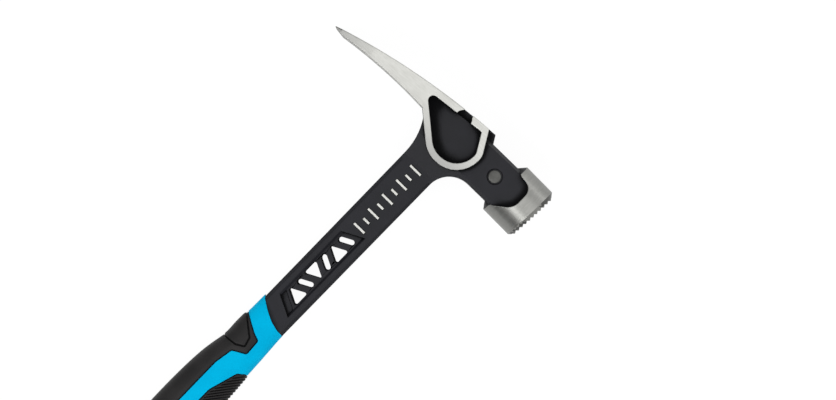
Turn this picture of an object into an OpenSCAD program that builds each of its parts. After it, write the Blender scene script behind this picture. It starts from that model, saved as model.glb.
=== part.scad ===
// Framing hammer: one steel forging with a moulded two-colour grip.
// It lies on its side. X runs to the striking face, Y up the handle, Z up.
// Every shape is drawn around the middle of the side pocket, at half thickness,
// and is moved last, so that the origin is under the middle of the whole hammer.

/* [Overall] */
// Length from the butt to the top of the head
overall_l = 406; // [385:1:430]

/* [Claw] */
// Distance from the pocket centre to the claw tip
claw_reach = 95; // [88:1:104]
// Width across both tines where they are widest
claw_w = 36; // [32:0.5:36.5]
// Width across both tines at the tip
claw_tip_w = 31; // [27:0.5:32]
// Thickness of the edge at the tip
claw_tip_t = 0.6; // [0.4:0.1:1.2]
// Length of the bevel under the tip
claw_bevel_l = 6.5; // [5:0.5:9]
// Depth of the bevel under the tip
claw_bevel_h = 1.4; // [1:0.1:2]
// Drop of the tip below the pocket centre
claw_tip_drop = 3; // [2:0.1:5]
// Radius of the long top edge of claw and head
claw_top_r = 454; // [380:1:600]
// Radius of the lower edge of the claw
claw_low_r = 335; // [280:1:450]
// Distance from the pocket centre back to the root of the lower edge
claw_root_x = 25.5; // [24:0.1:27]
// Drop of the lower edge at its root
claw_root_drop = 1.8; // [1.2:0.1:2.6]
// Length of the nail slot between the tines
nail_slot_l = 48; // [40:0.5:54]
// Width of the nail slot at the tip
nail_slot_mouth = 10; // [8.5:0.1:11.5]
// Width of the nail slot at its root
nail_slot_root = 3.4; // [2.8:0.1:4.2]

/* [Head] */
// Thickness between the ground side flats
head_t = 30; // [28:0.2:32]
// Thickness across the painted cheeks
cheek_t = 25; // [23:0.2:26.6]
// Height of the stop corner above the pocket centre
head_rise = 16.9; // [16:0.1:18]
// Distance from the pocket centre to the stop corner
stop_x = 18.6; // [17.8:0.1:19.4]
// Height of the neck top above the pocket centre
neck_rise = 11.9; // [11:0.1:12.6]
// Depth of the neck underside below the pocket centre
neck_drop = 15.6; // [15:0.1:17]
// Radius between the neck underside and the shank
neck_fillet_r = 16.1; // [14:0.1:19]
// Radius between the claw root and the back of the shank
root_fillet_r = 40; // [34:0.5:48]
// Length of the side pocket, over its sharp corners
pocket_l = 47.8; // [45:0.1:49]
// Height of the side pocket, over its sharp corners
pocket_h = 27.7; // [26:0.1:28.6]
// Thickness of the web left between the two pockets
web_t = 13; // [11:0.2:15]
// Width of the ground rim round the pocket
rim_w = 4; // [3.4:0.1:4.6]
// Radius of the nail scoop in the rim
scoop_r = 5.2; // [4.6:0.1:5.6]
// Depth of the nail scoop below the pocket floor
scoop_h = 2.4; // [1.6:0.1:3]
// Width of the open throat of the scoop at the top of the head
throat_w = 6.6; // [6:0.1:7.4]

/* [Poll] */
// Distance from the pocket centre to the middle of the striking face
face_reach = 69; // [66:0.2:72]
// Diameter of the poll
poll_d = 36.6; // [36.5:0.1:38]
// Length of the round barrel
barrel_l = 21; // [19:0.2:23]
// Length of the painted shoulder cone
shoulder_l = 3.6; // [3:0.1:4.4]
// Length of the bevel round the striking face
bevel_l = 2.9; // [2.4:0.1:3.6]
// Height of the bevel round the striking face
bevel_h = 3.2; // [2.6:0.1:3.8]
// Spacing of the milled teeth
tooth_pitch = 2.9; // [2.6:0.1:3.4]
// Depth of the milled teeth
tooth_h = 1.2; // [0.9:0.1:1.5]
// Reach of the cheek scallop into the barrel
scallop_l = 11.3; // [9.5:0.1:13]
// Diameter of the pin across the cheeks
pin_d = 7.8; // [6.6:0.1:8.6]
// Distance from the pocket centre to the pin
pin_x = 35.6; // [34:0.1:36.6]

/* [Nail starter] */
// Width of the nail groove along the top of neck and poll
groove_w = 5.2; // [4.8:0.1:5.8]
// Depth of the nail groove in the neck top
groove_h = 1.9; // [1.5:0.1:2.3]
// Diameter of the magnet under the groove
magnet_d = 8; // [7:0.1:9]
// Height of the magnet
magnet_h = 4.5; // [3.5:0.1:5]

/* [Shank] */
// Width of the shank below the head
shank_w = 24.4; // [23:0.1:26]
// Width of the shank where it enters the grip
shank_end_w = 23.4; // [22.4:0.1:24.4]
// Thickness of the shank
shank_t = 13; // [12:0.1:14]
// Bevel along the edges of the shank
shank_bevel = 1.9; // [1.4:0.1:2.4]
// Depth of the recessed panel round the windows
panel_h = 1.5; // [1.1:0.1:1.9]
// Width of the recessed panel
panel_w = 14; // [13:0.1:15]
// Width of the windows
window_w = 10; // [9:0.1:10.6]
// Spacing from one window to the next
window_pitch = 8.78; // [8.5:0.02:9]
// Height of the slot windows, along the shank
slot_h = 3.6; // [3:0.1:4.2]
// Height of the raised marks over the shank
mark_h = 0.5; // [0.4:0.1:0.8]
// Length of the longest raised mark
mark_l = 8.7; // [7.8:0.1:9.6]
// Width of a raised mark
mark_w = 1.4; // [1.2:0.1:1.8]

/* [Grip] */
// Distance from the pocket centre down to the top edge of the grip
grip_start = 147; // [145:0.5:150]
// Width of the grip at the palm
grip_w = 33; // [31:0.2:35]
// Thickness of the grip at the palm
grip_t = 26.4; // [25:0.2:27]
// Height of the grip pads over the sleeve
pad_proud = 0.5; // [0.4:0.05:0.7]
// Thickness of the soft sleeve over the hard core
sleeve_t = 2; // [1.6:0.1:2.4]
// Width of the steel tang in the grip
tang_w = 15; // [13:0.1:16]
// Thickness of the steel tang
tang_t = 6; // [5:0.1:7]
// Diameter of the lanyard hole
lanyard_d = 8; // [7:0.1:9]
// Distance from the butt to the lanyard hole
lanyard_inset = 15; // [13:0.1:17]
// Length of the butt cap along the middle of the shank, before its slanted top edge
cap_l = 40; // [38:0.2:44]

/* [Hidden] */

// Overrun of every cut, and a size that is past the hammer
over = 1;
far = overall_l;

// Number of sides of round cuts, and of steps on a rounded corner
round_sides = 64;
corner_steps = 8;
edge_steps = 24;

// Places along the hammer
butt_y = head_rise - overall_l;
barrel_mid_x = face_reach - bevel_l - barrel_l / 2;
shoulder_x = barrel_mid_x - barrel_l / 2 - shoulder_l;
neck_mid_y = (neck_rise - neck_drop) / 2;
shank_mid_x = -1;
grip_l = overall_l - head_rise - grip_start;
cap_top_y = butt_y + cap_l;

// Cant of the barrel towards the handle, and tilt of the face and shoulder
barrel_cant = 1.2;
face_tilt = 3.4;

// Side pocket corners: along its length, up its height, and rounding in heights
pocket_shares = [[-0.621, 0.283, 0.108], [0.238, 0.44, 0.036], [0.379, 0.022, 0.217],
  [0.379, -0.56, 0.513], [-0.04, -0.56, 0.513]];
pocket = [for (p = pocket_shares) [p.x * pocket_l, p.y * pocket_h, p.z * pocket_h]];
scoop_x = -0.04 * pocket_l;
scoop_y = 0.37 * pocket_h;

// Plan of the claw: share of the reach, and how far it has spread to full width
claw_root_share = 0.27;
claw_wide_share = 0.72;
claw_nose_share = 0.95;

// Cheek slope down to the shank, in neck drops below the pocket centre
slope_top_share = 0.9;
slope_end_share = 1.8;
cheek_bevel_share = 0.08;
stop_slope_share = 0.6;
root_end_share = 0.3;
cheek_bevel = cheek_t * cheek_bevel_share;

// Scallop corners: reach into the barrel, neck drops above the pocket centre, rounding
scallop_shares = [[-0.6, 0.86, 0], [0.2, 0.622, 0.1], [1, 0.555, 0.55], [1, -0.47, 0.85],
  [0.11, -0.94, 0.1], [-0.6, -1.1, 0]];

// Windows and panel, along the shank
window_n = 6;
window_slant = 27;
first_window_share = 0.6163;
panel_top_share = 0.62;
panel_end_share = 6.15;
trough_share = 0.55;
trough_h_share = 0.33;
slot_w_share = 0.88;
slot_r_share = 0.43;
triangle_r_share = 0.28;
apex_r_share = 0.2;
window_mid_x = shank_mid_x;
first_window_y = -first_window_share * grip_start;
panel_top_y = first_window_y + panel_top_share * window_pitch;
panel_end_y = first_window_y - panel_end_share * window_pitch;
trough_h = panel_h * trough_h_share;

// Raised marks: how many, and the share of full length of every second one
mark_n = 9;
mark_pitch_share = 0.041;
first_mark_share = 0.215;
short_mark_share = 0.55;
mark_pitch = mark_pitch_share * grip_start;
first_mark_y = -first_mark_share * grip_start;

// Pin and magnet
pin_inset_share = 0.04;
pin_ring_share = 0.1;
pin_rise_share = 0.0625;
recess_r_share = 0.95;
recess_l_share = 0.35;
pin_inset = pin_d * pin_inset_share;
pin_ring = pin_d * pin_ring_share;
pin_y = neck_mid_y + pin_d * pin_rise_share;
groove_floor_y = neck_rise - groove_h;
magnet_x = pin_x;
head_recess_r = groove_w * recess_r_share;
head_recess_l = groove_w * recess_l_share;

// Grip stations: share of the way down the grip, back, front and half thickness
// Back and front are in palm widths and half thickness is in palm thicknesses
grip_shares = [[-0.04, 0.388, 0.361, 0.34], [0.02, 0.394, 0.364, 0.372], [0.06, 0.399, 0.372, 0.397],
  [0.1, 0.409, 0.388, 0.416], [0.135, 0.396, 0.402, 0.43], [0.165, 0.436, 0.41, 0.441],
  [0.2, 0.482, 0.424, 0.456], [0.25, 0.515, 0.448, 0.47], [0.345, 0.531, 0.471, 0.49],
  [0.475, 0.505, 0.48, 0.496], [0.63, 0.47, 0.464, 0.49], [0.76, 0.472, 0.49, 0.51],
  [0.845, 0.503, 0.57, 0.56], [0.91, 0.53, 0.672, 0.635], [0.955, 0.536, 0.716, 0.672],
  [1.0, 0.53, 0.72, 0.68]];
grip_ring_n = 2;
grip_side_n = 28;
grip_roundness = 2.5;
butt_r_share = 0.24;
butt_turn_shares = [0, 0.25, 0.5, 0.75, 1];

// Slanted top edge of the grip: places across the shank in shank widths, drop in palm widths
collar_shares = [[-0.8, 0.16], [-0.52, -0.02], [-0.44, -0.08], [-0.2, -0.19], [0.04, -0.28],
  [0.29, -0.335], [0.5, -0.345], [0.8, -0.36]];

// Pad outlines: across in palm widths from the shank middle, down the grip in shares
back_shares = [[-0.9, 0.03, 0], [-0.4, 0.06, 0], [-0.03, 0.0875, 0.03], [0.12, 0.095, 0.06],
  [0.14, 0.139, 0.06], [-0.11, 0.158, 0.05], [-0.17, 0.205, 0.2], [-0.165, 0.4, 0.1], [0.06, 0.47, 0.1],
  [0.06, 0.62, 0.1], [-0.19, 0.69, 0.1], [-0.2, 0.79, 0.1], [-0.9, 0.76, 0]];
finger_shares = [[0.9, 0.168, 0], [0.36, 0.178, 0.03], [0.245, 0.19, 0.05], [0.2, 0.21, 0.05],
  [0.08, 0.265, 0.2], [0.08, 0.7, 0.2], [0.3, 0.775, 0.1], [0.9, 0.79, 0]];

// Moves every shape to the middle of the base
module placed() {
  translate([(claw_reach - face_reach - tooth_rise) / 2, -(head_rise + butt_y) / 2, poll_d / 2])
    children();
}
tooth_rise = (poll_d / 2 - bevel_h) * sin(face_tilt) * 0.9;

// Point at the end of a turn of angle a and radius r round c
function polar(c, r, a) = c + r * [cos(a), sin(a)];

// Points on the arc of radius r from p to q that bulges to the left of the way from p to q
function bow(p, q, r) =
  let (d = q - p, l = norm(d), n = [-d.y, d.x] / l, c = (p + q) / 2 - n * sqrt(r * r - l * l / 4),
       a = atan2(p.y - c.y, p.x - c.x), b = atan2(q.y - c.y, q.x - c.x))
  [for (i = [0:edge_steps]) polar(c, r, a + (b - a) * i / edge_steps)];

// Points on one rounded corner of an outline, between its neighbours
function corner(a, b, c) =
  let (u = [a.x - b.x, a.y - b.y], v = [c.x - b.x, c.y - b.y], un = u / norm(u), vn = v / norm(v),
       half = acos(max(-1, min(1, un * vn))) / 2, m = [b.x, b.y])
  b.z == 0 ? [m] :
  let (r = min(b.z, tan(half) * min(norm(u), norm(v)) * 0.98), w = (un + vn) / norm(un + vn),
       o = m + w * r / sin(half), turn = sign(un.x * vn.y - un.y * vn.x),
       start = atan2(-w.y, -w.x) + turn * (quarter_turn - half),
       sweep = 2 * (quarter_turn - half))
  [for (i = [0:corner_steps]) polar(o, r, start - turn * sweep * i / corner_steps)];

// Outline with every corner rounded by its own third number
function rounded(p) = [for (i = [0:len(p) - 1]) each corner(p[(i + len(p) - 1) % len(p)], p[i],
  p[(i + 1) % len(p)])];

// Corners of an outline moved outwards by d, for an outline that runs clockwise
function grown_corner(a, b, c, d) =
  let (u = [b.x - a.x, b.y - a.y], v = [c.x - b.x, c.y - b.y], nu = [-u.y, u.x] / norm(u),
       nv = [-v.y, v.x] / norm(v), s = nu + nv, m = [b.x, b.y] + s * d / (1 + nu * nv))
  [m.x, m.y, b.z + d];
function grown(p, d) = [for (i = [0:len(p) - 1]) grown_corner(p[(i + len(p) - 1) % len(p)], p[i],
  p[(i + 1) % len(p)], d)];

// Smooth value between the middle two of four, t of the way along
function eased(a, b, c, d, t) =
  b + t / 2 * (c - a + t * (2 * a - 5 * b + 4 * c - d + t * (3 * (b - c) + d - a)));

// Row of the grip's station table at ring k, with in-between rings worked out
function station(k) =
  let (i = min(floor(k / grip_ring_n), len(grip_shares) - 2), t = k / grip_ring_n - i,
       a = grip_shares[max(i - 1, 0)], b = grip_shares[i], c = grip_shares[i + 1],
       d = grip_shares[min(i + 2, len(grip_shares) - 1)])
  eased(a, b, c, d, t);

// Place down the hammer of a share of the grip
function grip_y(s) = -grip_start - s * grip_l;

// One ring of the grip, with its surface moved out by d
function grip_ring(s, d, inset) =
  [for (i = [0:grip_side_n - 1])
    let (a = 360 * i / grip_side_n, e = 2 / grip_roundness, c = cos(a), z = sin(a),
         x_r = (c > 0 ? s[2] : s[1]) * grip_w + d - inset, z_r = s[3] * grip_t + d - inset)
    [shank_mid_x + sign(c) * x_r * pow(abs(c), e), grip_y(s[0]), sign(z) * z_r * pow(abs(z), e)]];

// Rings of the grip between two stations, with the rounded edge of the butt after the last
butt_r = butt_r_share * grip_w;
quarter_turn = 90;
last_row_n = len(grip_shares) - 2;
finger_row_n = 4;
pad_row_n = 12;
sleeve_row_n = 13;
cap_row_n = 9;
function butt_station(a) =
  let (row = grip_shares[len(grip_shares) - 1])
  [1 - butt_r * (1 - sin(a)) / grip_l, row[1], row[2], row[3]];
function grip_rings(d, from, to) = concat(
  [for (k = [from * grip_ring_n:min(to, last_row_n) * grip_ring_n]) grip_ring(station(k), d, 0)],
  to <= last_row_n ? [] :
    [for (t = butt_turn_shares) grip_ring(butt_station(t * quarter_turn), d,
      butt_r * (1 - cos(t * quarter_turn)))]);

// Triangles between ring a and ring b of n points, and the same list turned inside out
function band(a, b, n) = [for (i = [0:n - 1]) each
  [[a * n + i, a * n + (i + 1) % n, b * n + i], [a * n + (i + 1) % n, b * n + (i + 1) % n, b * n + i]]];
function reversed(faces) = [for (f = faces) [f[2], f[1], f[0]]];

// Closed solid inside the grip's surface, moved out by d
module grip_body(d, from, to) {
  rings = grip_rings(d, from, to);
  n = grip_side_n;
  last = len(rings) - 1;
  ends = [[for (i = [n - 1:-1:0]) i], [for (i = [0:n - 1]) last * n + i]];
  polyhedron(points = [for (r = rings) each r],
    faces = concat([for (k = [0:last - 1]) each band(k, k + 1, n)], ends));
}

// Tube between the grip's surface moved out by d and the surface of the hard core
module grip_tube(d, from, to) {
  outer = grip_rings(d, from, to);
  inner = grip_rings(-sleeve_t, from, to);
  n = grip_side_n;
  m = len(outer);
  polyhedron(points = [for (r = concat(outer, inner)) each r],
    faces = concat([for (k = [0:m - 2]) each band(k, k + 1, n)],
      [for (k = [m:2 * m - 2]) each reversed(band(k, k + 1, n))],
      reversed(band(0, m, n)), band(m - 1, 2 * m - 1, n)));
}

// Outline drawn in shares of the palm width and of the grip's length, down to the butt cap
function grip_outline(rows) =
  [for (p = rows) [shank_mid_x + p.x * grip_w, grip_y(p.y), p.z * grip_w]];
module pad_outline(rows) {
  intersection() {
    polygon(rounded(grip_outline(rows)));
    above_line(cap_top_y, grip_w);
  }
}

// Points of a slanted edge across the hammer, at the height and over the width given
function slant_line(top_y, w) =
  [for (p = collar_shares) [shank_mid_x + p.x * w, top_y + p.y * grip_w]];
module above_line(top_y, w) {
  polygon(concat(slant_line(top_y, w), [[far, top_y], [far, far], [-far, far], [-far, top_y]]));
}
module below_line(top_y, w) {
  polygon(concat(slant_line(top_y, w), [[far, top_y], [far, -far], [-far, -far], [-far, top_y]]));
}

// Everything under the long top edge of claw and head
claw_tip = [-claw_reach, -claw_tip_drop];
module under_top() {
  polygon(concat(bow(claw_tip, [stop_x, head_rise], claw_top_r),
    [[stop_x, -far], [-claw_reach, -far]]));
}

// Side view of the claw blade
module blade_outline() {
  intersection() {
    under_top();
    polygon(concat([claw_tip, claw_tip + [claw_tip_t / 2, -claw_tip_t]],
      bow(claw_tip + [claw_bevel_l, -claw_bevel_h], [-claw_root_x, -claw_root_drop], claw_low_r),
      [[-claw_root_x / 2, 0], [-claw_root_x / 2, head_rise * 2], [-claw_reach, head_rise * 2]]));
  }
}

// Side view of the ground rim and of what it encloses, open to the top of the head
module rim_outline() {
  g = grown(pocket, rim_w);
  top = head_rise * 2;
  lean = (g[1].x - g[2].x) / (g[1].y - g[2].y);
  intersection() {
    under_top_and_neck();
    polygon(rounded([[g[0].x, top, 0], [g[1].x + (top - g[1].y) * lean, top, 0], g[2], g[3], g[4],
      [g[0].x, g[0].y, 0]]));
  }
}

// Claw: its side view, cut to its spread in plan
module claw() {
  wide = claw_w / 2;
  nose = claw_tip_w / 2;
  flat = head_t / 2;
  intersection() {
    linear_extrude(claw_w + over, center = true)
      blade_outline();
    rotate([90, 0, 0])
      linear_extrude(far, center = true)
        polygon([[0, flat], [-claw_reach * claw_root_share, flat], [-claw_reach * claw_wide_share, wide],
          [-claw_reach * claw_nose_share, (wide + nose) / 2], [-claw_reach, nose],
          [-claw_reach, -nose], [-claw_reach * claw_nose_share, -(wide + nose) / 2],
          [-claw_reach * claw_wide_share, -wide], [-claw_reach * claw_root_share, -flat], [0, -flat]]);
  }
}

// Wedge between the tines, drawn in plan
module nail_slot() {
  root = -claw_reach + nail_slot_l;
  flare = (nail_slot_mouth - nail_slot_root) / nail_slot_l * over;
  mouth = nail_slot_mouth / 2 + flare;
  half = nail_slot_root / 2;
  rotate([90, 0, 0])
    linear_extrude(far, center = true)
      polygon(rounded([[-claw_reach - over, mouth, 0], [root, half, half], [root, -half, half],
        [-claw_reach - over, -mouth, 0]]));
}

// Side view of the painted head and shank, above the grip
module painted_outline() {
  half = shank_w / 2;
  end = shank_end_w / 2;
  back = shank_mid_x - half;
  front = shank_mid_x + half;
  root_y = -neck_drop - root_fillet_r * root_end_share;
  intersection() {
    under_top_and_neck();
    union() {
      polygon([[0, -neck_drop], [shoulder_x + shoulder_l, -neck_drop], [shoulder_x + shoulder_l, neck_rise],
        [stop_x + (head_rise - neck_rise) * stop_slope_share, neck_rise], [stop_x, head_rise],
        [0, head_rise]]);
      polygon([[back, root_y], [back, 0], [front, 0], [front, -neck_drop - neck_fillet_r],
        [shank_mid_x + end, -grip_start * 2], [shank_mid_x - end, -grip_start * 2]]);
      difference() {
        translate([front - over, -neck_drop - neck_fillet_r])
          square([neck_fillet_r + over, neck_fillet_r + over]);
        translate([front + neck_fillet_r, -neck_drop - neck_fillet_r])
          circle(neck_fillet_r, $fn = round_sides * 2);
      }
      difference() {
        translate([back - root_fillet_r / 3, root_y])
          square([root_fillet_r / 2, -root_y]);
        translate([back - root_fillet_r, root_y])
          circle(root_fillet_r, $fn = round_sides * 4);
      }
    }
    above_line(-grip_start, shank_w);
  }
}

// Everything that may be painted steel: under the top edge, or the neck past the stop
module under_top_and_neck() {
  under_top();
  translate([stop_x - over, -far])
    square([far, far + head_rise]);
}

// Painted steel: side view cut to its thickness along the hammer
module painted_steel() {
  cheek = cheek_t / 2;
  side = shank_t / 2;
  bevel_y = neck_rise - cheek_bevel;
  thin = [[far, cheek - cheek_bevel], [neck_rise, cheek - cheek_bevel], [bevel_y, cheek],
    [-neck_drop * slope_top_share, cheek], [-neck_drop * slope_end_share, side], [-far, side]];
  intersection() {
    linear_extrude(cheek_t + over, center = true)
      painted_outline();
    rotate([90, 0, 90])
      linear_extrude(far, center = true)
        polygon(concat(thin, [for (i = [len(thin) - 1:-1:0]) [thin[i].x, -thin[i].y]]));
  }
}

// Bevels along both edges of the shank, below the neck
module shank_bevels() {
  lean = atan2((shank_w - shank_end_w) / 2, grip_start);
  edge_y = -neck_drop - neck_fillet_r;
  for (x = [-1, 1], z = [-1, 1])
    translate([shank_mid_x + x * shank_w / 2, edge_y, z * shank_t / 2])
      rotate([0, 0, x * -lean])
        rotate([0, 45, 0])
          translate([-shank_bevel * sqrt(0.5), -far, -shank_bevel * sqrt(0.5)])
            cube([shank_bevel * sqrt(2), far, shank_bevel * sqrt(2)]);
}

// Windows through the shank: slots and triangles by turns, each slanting the other way
module window(i) {
  half = window_w / 2;
  rise = tan(window_slant) * half;
  way = i % 4 < 2 ? 1 : -1;
  slot_r = slot_h * slot_r_share;
  wide_r = slot_h * triangle_r_share;
  end = half * slot_w_share;
  drop = rise * slot_w_share;
  slot = [[-end, slot_h / 2 - drop, slot_r], [end, slot_h / 2 + drop, slot_r],
    [end, drop - slot_h / 2, slot_r], [-end, -slot_h / 2 - drop, slot_r]];
  triangle = [[-half, 0, slot_h * apex_r_share], [half, rise * 2, wide_r], [half, -rise * 2, wide_r]];
  mirror([0, way > 0 ? 0 : 1])
    mirror([i % 2 == 1 && way < 0 ? 1 : 0, 0])
      polygon(rounded(i % 2 == 0 ? slot : triangle));
}
module windows() {
  for (i = [0:window_n - 1])
    translate([window_mid_x, first_window_y - i * window_pitch, 0])
      linear_extrude(shank_t * 2, center = true)
        window(i);
}

// Recessed panel round the windows, with sloping long walls and a deeper trough at its foot
module panel_outline(from_y) {
  half = panel_w / 2;
  rise = tan(window_slant) * half;
  polygon([[-half, from_y - rise], [half, from_y + rise], [half, panel_end_y - rise],
    [-half, panel_end_y + rise]]);
}
module trough_outline() {
  half = panel_w / 2;
  rise = tan(window_slant) * half;
  top = panel_end_y + trough_share * window_pitch;
  polygon([[-half, top + rise], [half, top - rise], [half, panel_end_y - rise],
    [-half, panel_end_y + rise]]);
}
module panel() {
  half = panel_w / 2;
  side = shank_t / 2;
  floor_z = side - panel_h;
  translate([window_mid_x, 0, 0]) {
    intersection() {
      linear_extrude(shank_t)
        panel_outline(panel_top_y);
      rotate([90, 0, 0])
        linear_extrude(far * 2, center = true)
          polygon([[-half, side], [-half, side + over], [half, side + over], [half, side],
            [half - panel_h, floor_z], [panel_h - half, floor_z]]);
    }
    intersection() {
      translate([0, 0, floor_z - trough_h])
        linear_extrude(shank_t)
          trough_outline();
      translate([panel_h - half, -far, 0])
        cube([panel_w - panel_h * 2, far, side]);
    }
  }
}

// Raised marks on the shank, long and short by turns
module marks() {
  for (i = [0:mark_n - 1]) {
    l = mark_l * (i % 2 == 0 ? 1 : short_mark_share);
    translate([shank_mid_x - l / 2, first_mark_y - i * mark_pitch - mark_w / 2, -shank_t / 2 - mark_h])
      cube([l, mark_w, shank_t + mark_h * 2]);
  }
}

// Poll: round barrel, cut by a tilted shoulder cone and a tilted face with its bevel
module poll() {
  r = poll_d / 2;
  neck_r = (neck_rise + neck_drop) / 2;
  slope = (r - neck_r) / shoulder_l;
  wide = r + over * 2;
  half = barrel_l / 2;
  translate([barrel_mid_x, neck_mid_y, 0])
    intersection() {
      rotate([0, 90, -barrel_cant])
        cylinder(far, r = r, center = true, $fn = round_sides);
      rotate([0, 90, -face_tilt])
        rotate_extrude($fn = round_sides)
          polygon([[0, -half - shoulder_l * 2], [neck_r - slope * shoulder_l, -half - shoulder_l * 2],
            [wide, over * 2 / slope - half], [wide, half - over * 2 * bevel_l / bevel_h],
            [r - bevel_h, half + bevel_l], [0, half + bevel_l]]);
    }
}

// Milled teeth: crossed vee grooves in the striking face
module teeth_cut() {
  rows = ceil((poll_d / 2 - bevel_h) / tooth_pitch);
  half = tooth_pitch * 0.46;
  translate([barrel_mid_x, neck_mid_y, 0])
    rotate([0, 0, -face_tilt])
      translate([barrel_l / 2 + bevel_l, 0, 0])
        for (i = [-rows:rows], turn = [0, 90])
          rotate([turn, 0, 0])
            translate([0, (i + 0.5) * tooth_pitch, 0])
              linear_extrude(poll_d + over, center = true)
                polygon([[-tooth_h, 0], [over, half * (tooth_h + over) / tooth_h],
                  [over, -half * (tooth_h + over) / tooth_h]]);
}

// Hollow of one cheek that runs out into the barrel as a scallop
module scallop() {
  rows = [for (p = scallop_shares) [shoulder_x + shoulder_l + p.x * scallop_l, p.y * neck_drop,
    p.z * scallop_l]];
  translate([0, 0, cheek_t / 2])
    linear_extrude(poll_d)
      polygon(rounded(rows));
}

// Side view of the nail scoop and of its throat to the top of the head
module scoop_outline() {
  translate([scoop_x, scoop_y])
    circle(scoop_r, $fn = round_sides);
  translate([scoop_x - throat_w / 2, scoop_y])
    square([throat_w, head_rise]);
}

// Side pocket, and the nail scoop that is deeper beyond the pocket's edge
module side_pocket() {
  translate([0, 0, web_t / 2])
    linear_extrude(claw_w) {
      polygon(rounded(pocket));
      scoop_outline();
    }
  translate([0, 0, web_t / 2 - scoop_h])
    linear_extrude(scoop_h + over)
      difference() {
        scoop_outline();
        polygon(rounded(pocket));
      }
}

// Nail groove along the top of the neck and poll, with a seat for the nail's head
module starter_groove() {
  r = groove_w / 2;
  axis_y = groove_floor_y + r;
  translate([stop_x + head_recess_l, axis_y, 0])
    rotate([0, 90, 0])
      cylinder(far, r = r, $fn = round_sides);
  translate([stop_x + head_recess_l, axis_y, -r])
    cube([far, far, groove_w]);
  translate([stop_x + head_recess_l, axis_y, 0])
    rotate([0, 90, 0])
      cylinder(head_recess_l, r = head_recess_r, $fn = round_sides);
}
module magnet_bore(extra) {
  translate([magnet_x, groove_floor_y - magnet_h, 0])
    rotate([-90, 0, 0])
      cylinder(magnet_h + extra, d = magnet_d, $fn = round_sides);
}

// Cross hole for the pin, with a shallow ring round each end
module pin_bore() {
  translate([pin_x, pin_y, 0]) {
    cylinder(cheek_t + over, d = pin_d, center = true, $fn = round_sides);
    for (z = [-1, 1])
      translate([0, 0, z * cheek_t / 2])
        cylinder(pin_inset * 4, d = pin_d + pin_ring * 2, center = true, $fn = round_sides);
  }
}

// Steel tang inside the grip, from inside the shank to short of the lanyard hole
tang_end_share = 0.9;
tang_end_y = butt_y + lanyard_inset + lanyard_d * tang_end_share;
module tang() {
  top = -grip_start + shank_w / 4;
  translate([shank_mid_x - tang_w / 2, tang_end_y, -tang_t / 2])
    cube([tang_w, top - tang_end_y, tang_t]);
}

module forging() {
  color("#3a3a3e")
    placed()
      difference() {
        union() {
          claw();
          linear_extrude(head_t, center = true)
            rim_outline();
          difference() {
            painted_steel();
            shank_bevels();
            for (z = [0, 1])
              mirror([0, 0, z])
                panel();
          }
          poll();
          marks();
          tang();
        }
        nail_slot();
        for (z = [0, 1])
          mirror([0, 0, z]) {
            side_pocket();
            scallop();
          }
        windows();
        teeth_cut();
        starter_groove();
        magnet_bore(groove_h * 2);
        pin_bore();
      }
}

// Round magnet pressed in under the nail groove
module starter_magnet() {
  color("#a0a2a4")
    placed()
      magnet_bore(0);
}

// Pin pressed across the cheeks, just under flush
module cheek_pin() {
  color("#6e7170")
    placed()
      translate([pin_x, pin_y, 0])
        cylinder(cheek_t - pin_inset * 2, d = pin_d, center = true, $fn = round_sides);
}

// Hard core of the grip, moulded on the tang
module grip_core() {
  color("#343436")
    placed()
      difference() {
        intersection() {
          grip_body(-sleeve_t, 0, sleeve_row_n);
          grip_length();
        }
        tang();
      }
}
module grip_length() {
  linear_extrude(grip_t * 2, center = true)
    intersection() {
      below_line(-grip_start, shank_w);
      above_line(cap_top_y, grip_w);
    }
}

// Coloured soft sleeve over the core, open where the pads are
module grip_sleeve() {
  color("#00b4e0")
    placed()
      difference() {
        intersection() {
          grip_tube(0, 0, sleeve_row_n);
          grip_length();
        }
        linear_extrude(grip_t * 2, center = true) {
          pad_outline(back_shares);
          pad_outline(finger_shares);
        }
      }
}

// Black pad along the back
module back_pad() {
  color("#2d2c2b")
    placed()
      intersection() {
        grip_tube(pad_proud, 0, pad_row_n);
        linear_extrude(grip_t * 2, center = true)
          pad_outline(back_shares);
      }
}

// Black pad under the fingers
module finger_pad() {
  color("#2d2c2b")
    placed()
      intersection() {
        grip_tube(pad_proud, finger_row_n, pad_row_n);
        linear_extrude(grip_t * 2, center = true)
          pad_outline(finger_shares);
      }
}

// Flared black butt cap with the lanyard hole
module butt_cap() {
  color("#262626")
    placed()
      difference() {
        intersection() {
          grip_body(0, cap_row_n, len(grip_shares));
          linear_extrude(grip_t * 2, center = true)
            below_line(cap_top_y, grip_w);
        }
        tang();
        translate([shank_mid_x, butt_y + lanyard_inset, 0])
          cylinder(grip_t * 2, d = lanyard_d, center = true, $fn = round_sides);
      }
}

forging();
starter_magnet();
cheek_pin();
grip_core();
grip_sleeve();
back_pad();
finger_pad();
butt_cap();
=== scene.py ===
"""A framing hammer on a pale table: one steel forging, part painted and part ground bare,
with a blue and black moulded grip. Unless a comment says otherwise, a place is in millimetres
from the middle of the side pocket, x to the striking face, y up the handle and z to the sky."""

import math

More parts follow.
